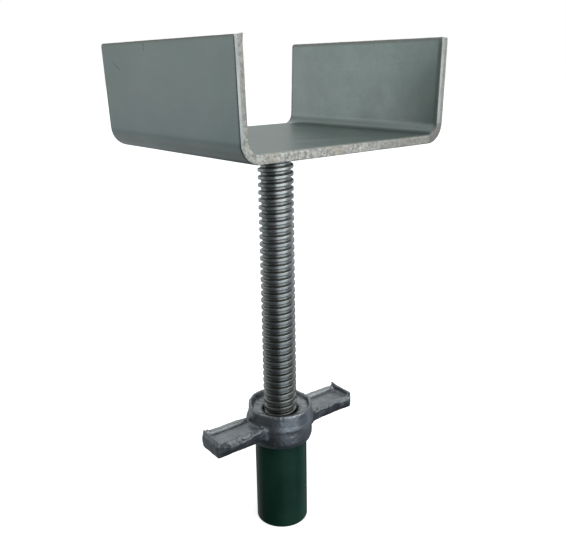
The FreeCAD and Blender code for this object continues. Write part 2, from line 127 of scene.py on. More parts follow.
# ----------------------------------------------------------------- materials
class Finish:
    """A node material, with short names for the nodes it uses."""

    def __init__(self, name):
        self.material = bpy.data.materials.new(name)
        self.material.use_nodes = True
        self.tree = self.material.node_tree
        self.tree.nodes.clear()
        self.out = self.tree.nodes.new("ShaderNodeOutputMaterial")
        self.skin = self.tree.nodes.new("ShaderNodeBsdfPrincipled")
        self.tree.links.new(self.skin.outputs["BSDF"], self.out.inputs["Surface"])
        self.place = self.tree.nodes.new("ShaderNodeTexCoord").outputs["Object"]

    def put(self, value, socket):
        if isinstance(value, bpy.types.NodeSocket):
            self.tree.links.new(value, socket)
        elif isinstance(value, (tuple, list)) and len(value) == 3 and socket.type == "RGBA":
            socket.default_value = (*value, 1.0)
        else:
            socket.default_value = value

    def math(self, kind, a, b=0.0, clamp=False):
        n = self.tree.nodes.new("ShaderNodeMath")
        n.operation, n.use_clamp = kind, clamp
        self.put(a, n.inputs[0])
        if kind not in ("SQRT", "ABSOLUTE", "SINE", "COSINE", "FRACT"):
            self.put(b, n.inputs[1])
        return n.outputs[0]

    def add(self, a, b):
        return self.math("ADD", a, b)

    def mul(self, a, b):
        return self.math("MULTIPLY", a, b)

    def ramp(self, value, low, high, to_low=0.0, to_high=1.0, kind="SMOOTHSTEP"):
        n = self.tree.nodes.new("ShaderNodeMapRange")
        n.interpolation_type = kind
        self.put(value, n.inputs["Value"])
        n.inputs["From Min"].default_value, n.inputs["From Max"].default_value = low, high
        n.inputs["To Min"].default_value, n.inputs["To Max"].default_value = to_low, to_high
        return n.outputs["Result"]

    def scaled(self, x, y, z):
        n = self.tree.nodes.new("ShaderNodeMapping")
        self.put(self.place, n.inputs["Vector"])
        n.inputs["Scale"].default_value = (x, y, z)
        return n.outputs["Vector"]

    def noise(self, scale, detail=3.0, rough=0.55, where=None, warp=0.0):
        n = self.tree.nodes.new("ShaderNodeTexNoise")
        self.put(where or self.place, n.inputs["Vector"])
        n.inputs["Scale"].default_value = scale
        n.inputs["Detail"].default_value = detail
        n.inputs["Roughness"].default_value = rough
        n.inputs["Distortion"].default_value = warp
        return n.outputs["Fac"]

    def cells(self, scale, feature="F1", where=None):
        n = self.tree.nodes.new("ShaderNodeTexVoronoi")
        n.feature = feature
        self.put(where or self.place, n.inputs["Vector"])
        n.inputs["Scale"].default_value = scale
        return n.outputs["Distance"]

    def mark(self, name):
        n = self.tree.nodes.new("ShaderNodeAttribute")
        n.attribute_name = name
        return n.outputs["Fac"]

    def axes(self):
        n = self.tree.nodes.new("ShaderNodeSeparateXYZ")
        self.put(self.place, n.inputs[0])
        return n.outputs[0], n.outputs[1], n.outputs[2]

    def mix(self, share, a, b, kind="MIX"):
        n = self.tree.nodes.new("ShaderNodeMix")
        n.data_type, n.blend_type = "RGBA", kind
        self.put(share, n.inputs["Factor"])
        self.put(a, n.inputs["A"])
        self.put(b, n.inputs["B"])
        return n.outputs["Result"]

    def blend(self, share, a, b):
        n = self.tree.nodes.new("ShaderNodeMix")
        n.data_type = "FLOAT"
        self.put(share, n.inputs["Factor"])
        self.put(a, n.inputs["A"])
        self.put(b, n.inputs["B"])
        return n.outputs["Result"]

    def bump(self, height, distance, strength=1.0, under=None):
        n = self.tree.nodes.new("ShaderNodeBump")
        n.inputs["Distance"].default_value = distance
        n.inputs["Strength"].default_value = strength
        self.put(height, n.inputs["Height"])
        if under is not None:
            self.put(under, n.inputs["Normal"])
        return n.outputs["Normal"]

    def set(self, **sockets):
        for key, value in sockets.items():
            self.put(value, self.skin.inputs[key.replace("_", " ")])
        return self.material

    def line(self, a, b, width):
        """1 on a thin straight scratch between two points, in metres, fading out beside it."""
        a, b = Vector(a), Vector(b)
        along = b - a
        rel = self.tree.nodes.new("ShaderNodeVectorMath")
        rel.operation = "SUBTRACT"
        self.put(self.place, rel.inputs[0])
        rel.inputs[1].default_value = a
        dot = self.tree.nodes.new("ShaderNodeVectorMath")
        dot.operation = "DOT_PRODUCT"
        self.put(rel.outputs["Vector"], dot.inputs[0])
        dot.inputs[1].default_value = along / along.length_squared
        share = self.math("MULTIPLY", dot.outputs["Value"], 1.0, clamp=True)
        foot = self.tree.nodes.new("ShaderNodeVectorMath")
        foot.operation = "SCALE"
        foot.inputs[0].default_value = along
        self.put(share, foot.inputs["Scale"])
        gap = self.tree.nodes.new("ShaderNodeVectorMath")
        gap.operation = "DISTANCE"
        self.put(rel.outputs["Vector"], gap.inputs[0])
        self.put(foot.outputs["Vector"], gap.inputs[1])
        return self.ramp(gap.outputs["Value"], 0.3 * width, width, 1.0, 0.0)


def zinc_plate():
    f = Finish("zinc_plate")
    shear, rolled = f.mark("shear"), f.mark("rolled")
    cloud = f.noise(9.0, 4.0, 0.5, warp=0.6)
    patch = f.noise(34.0, 4.0, 0.6)
    speck = f.noise(420.0, 3.0, 0.6)
    hue = f.noise(14.0, 2.0, 0.5)
    grain = f.noise(55.0, 3.0, 0.5, where=f.scaled(1.0, 0.06, 1.0))
    tone = f.add(f.add(f.mul(cloud, 0.55), f.mul(patch, 0.3)), f.mul(grain, 0.15))
    face = f.mix(f.ramp(tone, 0.36, 0.64), (0.219, 0.266, 0.256), (0.259, 0.305, 0.293))
    face = f.mix(f.ramp(hue, 0.45, 0.65, 0.0, 0.45), face, (0.254, 0.276, 0.279))
    face = f.mix(f.ramp(speck, 0.62, 0.74, 0.0, 0.16), face, (0.15, 0.18, 0.175))
    scratch = f.add(f.line((-0.1290, 0.0923, 0.5274), (-0.1287, 0.0793, 0.5198), 0.0011),
                    f.line((-0.1296, 0.0272, 0.5422), (-0.1294, 0.0274, 0.5370), 0.0009))
    scratch = f.mul(scratch, f.ramp(f.noise(300.0), 0.38, 0.52))
    face = f.mix(f.mul(scratch, 0.55), face, (0.10, 0.115, 0.115))
    face = f.mix(f.mul(rolled, 0.50), face, (0.135, 0.122, 0.105))
    # the sheared edges: a smooth pale cut zone, and torn metal with brownish stains
    tear = f.mark("tear")
    torn = f.noise(280.0, 4.0, 0.65)
    stain = f.noise(36.0, 3.0, 0.55)
    cut = f.mix(f.ramp(stain, 0.40, 0.62), (0.375, 0.398, 0.389), (0.47, 0.493, 0.484))
    edge = f.mix(f.ramp(torn, 0.36, 0.64), (0.28, 0.276, 0.256), (0.62, 0.615, 0.572))
    edge = f.mix(f.ramp(stain, 0.50, 0.68, 0.0, 0.50), edge, (0.44, 0.39, 0.31))
    edge = f.mix(f.ramp(f.noise(260.0, 2.0), 0.62, 0.74, 0.0, 0.6), edge, (0.20, 0.175, 0.15))
    across, _, height = f.axes()
    edge = f.mix(f.ramp(height, 0.450, 0.475, 0.0, 0.48), edge, (0.29, 0.28, 0.26))
    edge = f.mix(f.mul(f.ramp(across, -0.005, 0.070, 0.0, 0.62), f.ramp(across, 0.108, 0.124, 1.0, 0.66)), edge, (0.27, 0.265, 0.245))
    edge = f.mix(tear, cut, edge)
    edge = f.mix(f.mul(rolled, 0.75), edge, (0.15, 0.135, 0.135))
    colour = f.mix(shear, face, edge)
    rough = f.blend(shear, f.ramp(f.add(f.mul(patch, 0.6), f.mul(speck, 0.4)), 0.35, 0.65, 0.30, 0.37), f.blend(tear, 0.48, 0.66))
    metal = f.blend(shear, 1.0, 0.35)
    normal = f.bump(f.add(f.mul(speck, 0.5), grain), 0.00004, 0.5)
    normal = f.bump(f.mul(f.mul(shear, tear), torn), 0.0007, 0.8, normal)
    normal = f.bump(f.mul(scratch, -1.0), 0.0002, 0.8, normal)
    return f.set(Base_Color=colour, Roughness=rough, Metallic=metal, Normal=normal)


def thread_steel():
    f = Finish("thread_steel")
    crest, low = f.mark("crest"), f.mark("low")
    smear = f.noise(60.0, 4.0, 0.6, where=f.scaled(1.0, 1.0, 2.2))
    speck = f.noise(700.0, 3.0, 0.6)
    colour = f.mix(f.ramp(smear, 0.35, 0.65), (0.385, 0.398, 0.388), (0.470, 0.482, 0.470))
    # painted shade: the thread's roots are darkened, as if shadowed by the crest above them
    colour = f.mix(f.ramp(crest, 0.02, 0.55, 0.42, 0.0), colour, (0.10, 0.104, 0.10))
    colour = f.mix(f.mul(low, 0.64), colour, (0.15, 0.158, 0.150))
    colour = f.mix(f.ramp(speck, 0.60, 0.72, 0.0, 0.28), colour, (0.17, 0.172, 0.165))
    # grime in the roots of the lower thread, which also deepens the painted shade there
    root_grime_and_shade = f.mul(f.ramp(crest, 0.02, 0.35, 1.0, 0.0), f.mul(low, f.ramp(smear, 0.40, 0.70, 0.0, 0.5)))
    colour = f.mix(root_grime_and_shade, colour, (0.085, 0.088, 0.082))
    rough = f.ramp(f.add(f.mul(smear, 0.6), f.mul(speck, 0.4)), 0.3, 0.7, 0.25, 0.40)
    normal = f.bump(speck, 0.00006, 0.6)
    normal = f.bump(f.noise(140.0, 3.0), 0.0002, 0.5, normal)
    return f.set(Base_Color=colour, Roughness=rough, Metallic=1.0, Normal=normal)


def weld_steel():
    f = Finish("weld_steel")
    cloud, speck = f.noise(70.0, 4.0), f.noise(500.0, 3.0)
    colour = f.mix(f.ramp(cloud, 0.35, 0.65), (0.25, 0.265, 0.262), (0.40, 0.415, 0.41))
    colour = f.mix(f.ramp(speck, 0.58, 0.7, 0.0, 0.5), colour, (0.12, 0.115, 0.11))
    rough = f.ramp(cloud, 0.3, 0.7, 0.32, 0.52)
    return f.set(Base_Color=colour, Roughness=rough, Metallic=1.0, Normal=f.bump(speck, 0.00012, 0.7))


def cast_iron():
    f = Finish("cast_iron")
    wear_and_highlight, hollow = f.mark("wear_and_highlight"), f.mark("hollow")
    cloud = f.noise(40.0, 4.0, 0.6)
    sand = f.noise(330.0, 4.0, 0.65)
    grit = f.noise(1100.0, 2.0, 0.6)
    colour = f.mix(f.ramp(cloud, 0.35, 0.65), (0.188, 0.203, 0.222), (0.268, 0.284, 0.302))
    colour = f.mix(f.ramp(sand, 0.55, 0.72, 0.0, 0.40), colour, (0.118, 0.127, 0.139))
    # edges lightened by wear, and the far rims by a painted highlight
    edge = f.ramp(f.add(wear_and_highlight, f.mul(f.add(sand, -0.5), 0.7)), 0.28, 0.85)
    colour = f.mix(f.mul(edge, 0.55), colour, (0.38, 0.395, 0.405))
    # painted shade, with some dirt in the recesses: darkens recesses, the bore and shaded faces of the casting nearly
    # to black
    colour = f.mix(f.mul(hollow, 0.82), colour, (0.030, 0.031, 0.033))
    # faint level striations, as the pattern left them
    stria = f.noise(150.0, 3.0, 0.6, where=f.scaled(0.40, 0.40, 4.0))
    colour = f.mix(f.ramp(stria, 0.54, 0.68, 0.0, 0.26), colour, (0.33, 0.345, 0.36))
    rough = f.blend(edge, f.ramp(sand, 0.3, 0.7, 0.31, 0.45), 0.38)
    normal = f.bump(grit, 0.00006, 0.6)
    normal = f.bump(sand, 0.00018, 0.65, normal)
    normal = f.bump(stria, 0.00018, 0.6, normal)
    return f.set(Base_Color=colour, Roughness=rough, Metallic=0.9, Normal=normal)


def green_paint():
    f = Finish("green_paint")
    cloud = f.noise(24.0, 3.0, 0.5)
    peel = f.noise(430.0, 2.0, 0.5)
    dust = f.noise(900.0, 2.0, 0.6)
    rub = f.noise(60.0, 4.0, 0.6, where=f.scaled(1.0, 1.0, 0.12))
    colour = f.mix(f.ramp(cloud, 0.35, 0.65), (0.0060, 0.0280, 0.0185), (0.0095, 0.0390, 0.0260))
    colour = f.mix(f.ramp(dust, 0.66, 0.76, 0.0, 0.22), colour, (0.06, 0.075, 0.068))
    colour = f.mix(f.ramp(rub, 0.66, 0.78, 0.0, 0.25), colour, (0.045, 0.065, 0.056))
    rough = f.ramp(f.add(f.mul(cloud, 0.5), f.mul(rub, 0.5)), 0.3, 0.7, 0.24, 0.36)
    normal = f.bump(peel, 0.00005, 0.45)
    return f.set(Base_Color=colour, Roughness=rough, Metallic=0.0, Normal=normal, Specular_IOR_Level=0.12)


# ------------------------------------------------------------ folded U plate
PLATE_LOW, PLATE_THICK, PLATE_HALF, LEAN = 443.5, 9.0, 125.95, math.radians(2.1)
FLANGE, HALF_LENGTH, FOLD = 101.6, 114.0, 20.0


def plate_piece():
    fold_x = PLATE_HALF - FOLD * (1 - math.sin(LEAN)) / math.cos(LEAN)
    sweep = math.pi / 2 - LEAN
    fold_end = fold_x + FOLD * sweep
    top = Vector((PLATE_HALF + FLANGE * math.tan(LEAN), PLATE_LOW + FLANGE))
    bend_end = Vector((fold_x + FOLD * math.sin(sweep), PLATE_LOW + FOLD - FOLD * math.cos(sweep)))
    reach = fold_end + (top - bend_end).length

    def place(s, t, y):
        """A point of the plate: s along its outer face from the middle, t into it, y along the channel."""
        side, a = np.sign(s), np.abs(s)
        phi = np.clip((a - fold_x) / FOLD, 0, sweep)
        x = np.minimum(a, fold_x) + FOLD * np.sin(phi) + np.maximum(a - fold_end, 0) * math.cos(sweep)
        z = PLATE_LOW + FOLD * (1 - np.cos(phi)) + np.maximum(a - fold_end, 0) * math.sin(sweep)
        return np.stack([side * (x - t * np.sin(phi)), y, z + t * np.cos(phi)], 1)

    band, block = 4.5, 2.0
    s_end, y_end = reach - band, HALF_LENGTH - band

    def stations(marks, spacing):
        out = [marks[0]]
        for a, b in zip(marks[:-1], marks[1:]):
            n = max(1, int(math.ceil((b - a) / spacing)))
            out += [a + (b - a) * i / n for i in range(1, n + 1)]
        return out

    s_side = stations([0, fold_x], 2.6)[1:] + stations([fold_x, fold_end], 1.5)[1:] + stations([fold_end, s_end - block], 2.2)[1:]
    s_side += [s_end - block * 0.5, s_end]
    s_line = np.array([-s for s in reversed(s_side)] + [0.0] + s_side)
    y_side = stations([0, y_end - block], 2.4)[1:] + [y_end - block * 0.5, y_end]
    y_line = np.array([-y for y in reversed(y_side)] + [0.0] + y_side)
    ns, ny = len(s_line), len(y_line)

    gs, gy = np.meshgrid(s_line, y_line, indexing="ij")
    gs, gy = gs.ravel(), gy.ravel()
    ds, dy = np.abs(gs) - (s_end - block), np.abs(gy) - (y_end - block)
    corner = (ds > 0) & (dy > 0)
    far = np.where(corner, np.hypot(ds, dy), 1.0)
    shrink = np.where(corner, np.maximum(ds, dy) / np.maximum(far, 1e-9), 1.0)
    gs = np.where(corner, np.sign(gs) * (s_end - block + ds * shrink), gs)
    gy = np.where(corner, np.sign(gy) * (y_end - block + dy * shrink), gy)

    def wave(s, y):
        spot = np.stack([s, y, np.zeros(len(s))], 1)
        return 0.10 * fbm(spot, 70.0, 2, 5) + 0.03 * fbm(spot, 18.0, 2, 9)

    verts, faces, shear, rolled, tear = [], [], [], [], []

    def put(points, sh, ro, te=0.0):
        first = sum(len(v) for v in verts)
        verts.append(points)
        for store, value in ((shear, sh), (rolled, ro), (tear, te)):
            store.append(np.broadcast_to(value, len(points)).astype(float))
        return first

    lift = wave(gs, gy)
    outer = put(place(gs, lift, gy), 0.0, 0.0)
    inner = put(place(gs, PLATE_THICK + lift, gy), 0.0, 0.0)

    def at(i, k):
        return i * ny + k

    for first in (outer, inner):
        for i in range(ns - 1):
            for k in range(ny - 1):
                faces.append((first + at(i, k), first + at(i + 1, k), first + at(i + 1, k + 1), first + at(i, k + 1)))

    loop = [at(i, 0) for i in range(ns)] + [at(ns - 1, k) for k in range(1, ny)]
    loop += [at(i, ny - 1) for i in range(ns - 2, -1, -1)] + [at(0, k) for k in range(ny - 2, 0, -1)]
    loop = np.array(loop)
    inner_s, inner_y = gs[loop], gy[loop]

    # outline of the blank beyond each point of that loop
    cs = np.sign(inner_s) * (s_end - block)
    cy = np.sign(inner_y) * (y_end - block)
    in_corner = (np.abs(inner_s) > s_end - block + 1e-6) & (np.abs(inner_y) > y_end - block + 1e-6)
    out_s, out_y = np.zeros(len(loop)), np.zeros(len(loop))
    for n in range(len(loop)):
        if in_corner[n]:
            d = Vector((abs(inner_s[n] - cs[n]), abs(inner_y[n] - cy[n]))).normalized()
            size = band + block
            rc = 1.3 if inner_y[n] < 0 else 3.0
            limit = min(size / max(d.x, 1e-9), size / max(d.y, 1e-9))
            hub = Vector((size - rc, size - rc))
            dot = d.dot(hub)
            disc = dot * dot - hub.length_squared + rc * rc
            if disc > 0:
                hit = d * (dot + math.sqrt(disc))
                if hit.x > size - rc and hit.y > size - rc:
                    limit = hit.length
            out_s[n] = cs[n] + math.copysign(d.x * limit, inner_s[n])
            out_y[n] = cy[n] + math.copysign(d.y * limit, inner_y[n])
        elif abs(inner_y[n]) > y_end - 1e-6:
            out_s[n], out_y[n] = inner_s[n], math.copysign(HALF_LENGTH, inner_y[n])
        else:
            out_s[n], out_y[n] = math.copysign(reach, inner_s[n]), inner_y[n]

    # section through a sheared edge, from the outer face round to the inner one:
    # small break, torn face, then the long roll-over
    section = [(2.2, 0.0), (1.1, 0.03), (0.55, 0.11), (0.24, 0.26), (0.07, 0.50), (0.0, 0.85), (0.0, 1.7), (0.0, 2.6), (0.0, 3.5),
               (0.0, 4.4), (0.0, 5.3), (0.0, 6.2), (0.02, 7.0), (0.10, 7.6), (0.30, 8.02), (0.65, 8.28), (1.2, 8.50), (1.9, 8.69),
               (2.7, 8.84), (3.6, 8.95)]
    pale = [0.0, 0.0, 0.0, 0.3, 0.85, 1.0, 1.0, 1.0, 1.0, 1.0, 1.0, 1.0, 1.0, 1.0, 0.90, 0.57, 0.44, 0.38, 0.27, 0.13]
    dark = [0.25, 0.85, 1.0, 0.8, 0.2, 0.0, 0.0, 0.0, 0.0, 0.0, 0.0, 0.0, 0.0, 0.0, 0.06, 0.12, 0.10, 0.07, 0.04, 0.0]
    bent = step(np.abs(out_s), fold_x - 4, fold_x + 4) * (1 - step(np.abs(out_s), fold_end - 4, fold_end + 4))
    flat_end = np.abs(out_y) > HALF_LENGTH - 0.5
    rows = [outer + loop]
    for (e, t), sh, ro in zip(section, pale, dark):
        spot = np.stack([out_s, out_y, np.full(len(loop), t * 3.0)], 1)
        torn = step(t, 0.4, 1.5) * (1 - step(t, 6.0, 7.6))
        rough = torn * (0.26 * fbm(spot, 3.2, 2, 21) + 0.16 * noise3(spot, 9.0, 33))
        bulge = -0.55 * (t / PLATE_THICK - 0.45) * bent * flat_end * (1 - step(e, 0.0, 2.5))
        inset = np.clip((e + rough + bulge) / band, -0.3, 1.0)
        ss = out_s + (inner_s - out_s) * inset
        yy = out_y + (inner_y - out_y) * inset
        # burrs left at the near upper corners
        lip = 0.0
        for side, size in ((-1, 1.1), (1, 0.7)):
            near = np.exp(-(((out_s - side * reach) / 3.0) ** 2 + ((out_y + HALF_LENGTH) / 2.6) ** 2))
            ss = ss + side * size * near * step(t, 4.0, 7.5) * (1 - step(e, 0.2, 1.5))
            lip = lip + 1.1 * size * near * step(t, 5.0, 8.0) * (1 - step(e, 0.3, 2.0))
        edge_wave = wave(ss, yy) + lip
        # cut zone and broken zone of the sheared face; the right fold's end is scorched darker
        wander = 0.5 * noise3(spot, 14.0, 35)
        upright = step(np.abs(out_s), fold_end - 12, fold_end + 6) * flat_end
        broken = np.where(out_s < 0, step(t + wander, 2.9, 3.7), 1 - step(t + wander, 4.4, 5.2))
        te = 1 - upright * (1 - broken)
        scorch = 0.8 * bent * flat_end * (out_s > 0) * sh
        rows.append(put(place(ss, t + edge_wave, yy), sh, np.maximum(ro, scorch), te) + np.arange(len(loop)))
    rows.append(inner + loop)
    count = len(loop)
    for a, b in zip(rows[:-1], rows[1:]):
        for n in range(count):
            m = (n + 1) % count
            faces.append((int(a[n]), int(a[m]), int(b[m]), int(b[n])))
    obj = build("u_head_plate", np.concatenate(verts), faces,
                {"shear": np.concatenate(shear), "rolled": np.concatenate(rolled), "tear": np.concatenate(tear)})
    hand_over(obj, "head", "u_plate", zinc_plate())
    return obj


# ----------------------------------------------------------- threaded spindle
PITCH, CREST_R, ROOT_R = 8.0, 19.0, 15.9
BAR_LOW, BAR_TOP = 43.5, 443.5


def thread_radius(offset):
    """Radius of the rolled thread at an axial distance from the middle of a crest."""
    kernel = np.linspace(-0.34, 0.34, 9)
    weight = 1 - (kernel / 0.42) ** 2
    total = 0.0
    for k, w in zip(kernel, weight):
        d = (offset + k + PITCH / 2) % PITCH - PITCH / 2
        total = total + w * np.where(d > 0, np.clip((2.80 - d) / 1.35, 0, 1), np.clip((2.72 + d) / 1.0, 0, 1))
    form = total / weight.sum()
    return ROOT_R + (CREST_R - ROOT_R) * form - 0.05


def spindle_piece():
    segs = 64
    cuts = np.array([0.0, 0.5, 0.95, 1.25, 1.5, 1.75, 2.05, 2.35, 2.65, 2.95, 3.3, 3.65, 4.0,
                     4.35, 4.7, 5.05, 5.35, 5.65, 5.95, 6.25, 6.5, 6.75, 7.05, 7.5])
    per = len(cuts)
    first_turn, last_turn = 0, 51
    z_row, off_row = [], []
    for turn in range(first_turn, last_turn + 1):
        for c in cuts:
            z_row.append(30.3 + turn * PITCH + c)
            off_row.append(c)
    z_row, off_row = np.array(z_row), np.array(off_row)
    rows = len(z_row)
    theta = np.arange(segs) * 2 * math.pi / segs
    zz = z_row[:, None] + PITCH * theta[None, :] / (2 * math.pi)
    rr = np.broadcast_to(thread_radius(off_row)[:, None], zz.shape).copy()
    spot = np.stack([np.cos(theta)[None, :] * rr, np.sin(theta)[None, :] * rr, zz], 2).reshape(-1, 3)
    # rolled finish: slight unevenness, a few flats on the crests
    rr = rr - 0.05 * np.abs(fbm(spot, 5.0, 2, 41)).reshape(zz.shape)
    dents = np.maximum(fbm(spot, 9.0, 1, 55).reshape(zz.shape) - 0.62, 0) * 1.1
    rr = rr - dents * step(rr, 18.0, 18.9)
    # thread runs out below the plain neck, and the lower end is chamfered
    neck = step(zz, 427.0, 433.0)
    rr = rr * (1 - neck) + 18.85 * neck
    rr = np.minimum(rr, 15.0 + np.maximum(zz - BAR_LOW, -0.5))
    crest = (rr - ROOT_R) / (CREST_R - ROOT_R)
    low = 1 - step(zz, 150.0, 400.0)
    xx, yy = rr * np.cos(theta)[None, :], rr * np.sin(theta)[None, :]
    verts = np.stack([xx, yy, zz], 2).reshape(-1, 3)

    def at(i, j):
        return (i, j) if j < segs else (i + per, 0)

    faces = []
    for i in range(rows - 1):
        for j in range(segs):
            a, b, c, d = at(i, j), at(i, j + 1), at(i + 1, j + 1), at(i + 1, j)
            if max(a[0], b[0], c[0], d[0]) < rows:
                faces.append(tuple(p[0] * segs + p[1] for p in (a, b, c, d)))
    mesh = bpy.data.meshes.new("threaded_spindle")
    mesh.from_pydata((verts * MM).tolist(), [], faces)
    for key, values in (("crest", crest), ("low", low)):
        layer = mesh.attributes.new(key, "FLOAT", "POINT")
        layer.data.foreach_set("value", np.clip(values, 0, 1).astype(np.float32).ravel())
    bm = bmesh.new()
    bm.from_mesh(mesh)
    for z, direction in ((BAR_LOW, -1), (BAR_TOP, 1)):
        cut = bmesh.ops.bisect_plane(bm, geom=bm.verts[:] + bm.edges[:] + bm.faces[:], dist=1e-7, plane_co=(0, 0, z * MM),
                                     plane_no=(0, 0, direction), clear_outer=True)
        rim = [e for e in bm.edges if e.is_boundary and all(abs(v.co.z - z * MM) < 1e-6 for v in e.verts)]
        bmesh.ops.edgeloop_fill(bm, edges=rim)
    loose = [v for v in bm.verts if not v.link_faces]
    bmesh.ops.delete(bm, geom=loose, context="VERTS")
    bmesh.ops.recalc_face_normals(bm, faces=bm.faces)
    if bm.calc_volume(signed=True) < 0:
        bmesh.ops.reverse_faces(bm, faces=bm.faces)
    for face in bm.faces:
        face.smooth = len(face.verts) < 5
    bm.to_mesh(mesh)
    bm.free()
    obj = bpy.data.objects.new("threaded_spindle", mesh)
    bpy.context.scene.collection.objects.link(obj)
    hand_over(obj, "head", "spindle", thread_steel())
    return obj


# -------------------------------------------------------------------- weld bead
def weld_piece():
    segs, across = 220, 15
    theta = np.arange(segs) * 2 * math.pi / segs
    v = np.linspace(0, 1, across)
    a, c, b = np.array([19.02, 434.8]), np.array([25.1, 437.2]), np.array([27.75, 443.42])
    curve = ((1 - v) ** 2)[:, None] * a + (2 * v * (1 - v))[:, None] * c + (v ** 2)[:, None] * b
    tangent = np.gradient(curve, axis=0)
    out = np.stack([-tangent[:, 1], tangent[:, 0]], 1) * -1
    out /= np.linalg.norm(out, axis=1)[:, None]
    bow = 1 - (2 * v - 1) ** 2
    rings = []
    for j, th in enumerate(theta):
        beat = th / (2 * math.pi) * 34 + 0.22 * math.sin(3 * th + 0.6) + 0.10 * math.sin(7 * th)
        phase = (beat - 0.55 * bow) % 1.0
        ripple = 0.42 * (phase ** 1.6) * (1 - step(phase, 0.86, 1.0)) * (0.25 + 0.75 * bow)
        swell = 0.30 * math.sin(2 * th + 1.1) + 0.22 * math.sin(5 * th + 2.0)
        stop = 0.8 * math.exp(-(((th - 2.2) / 0.10) ** 2))
        push = (ripple + (swell - stop) * bow * 0.6)[:, None] * out
        p = curve + push
        p[:, 0] = np.maximum(p[:, 0], 19.02)
        p[:, 1] = np.minimum(p[:, 1], 443.42)
        toe = 0.35 * math.sin(beat * 2 * math.pi) * 0.5
        p[-1, 0] += toe
        p[0, 1] -= toe * 0.6
        rings.append(p)
    rings = np.array(rings)
    cap = np.array([[19.02, 443.46]])
    loops = np.concatenate([rings, np.broadcast_to(cap, (segs, 1, 2))], 1)
    n = loops.shape[1]
    verts = np.stack([loops[:, :, 0] * np.cos(theta)[:, None], loops[:, :, 0] * np.sin(theta)[:, None], loops[:, :, 1]], 2).reshape(-1, 3)
    faces = []
    for j in range(segs):
        for i in range(n):
            k, m = (j + 1) % segs, (i + 1) % n
            faces.append((j * n + i, k * n + i, k * n + m, j * n + m))
    obj = build("weld_ripple", verts, faces)
    hand_over(obj, "head", "weld_bead", weld_steel())
    return obj


# ---------------------------------------------------------------------- casting
WING_TURN = math.radians(3.1)


def smooth_points(co, edges, share, rounds):
    count = np.zeros(len(co))
    np.add.at(count, edges[:, 0], 1)
    np.add.at(count, edges[:, 1], 1)
    for _ in range(rounds):
        total = np.zeros_like(co)
        np.add.at(total, edges[:, 0], co[edges[:, 1]])
        np.add.at(total, edges[:, 1], co[edges[:, 0]])
        mean = total / np.maximum(count, 1)[:, None]
        co = co + share[:, None] * (mean - co)
    return co


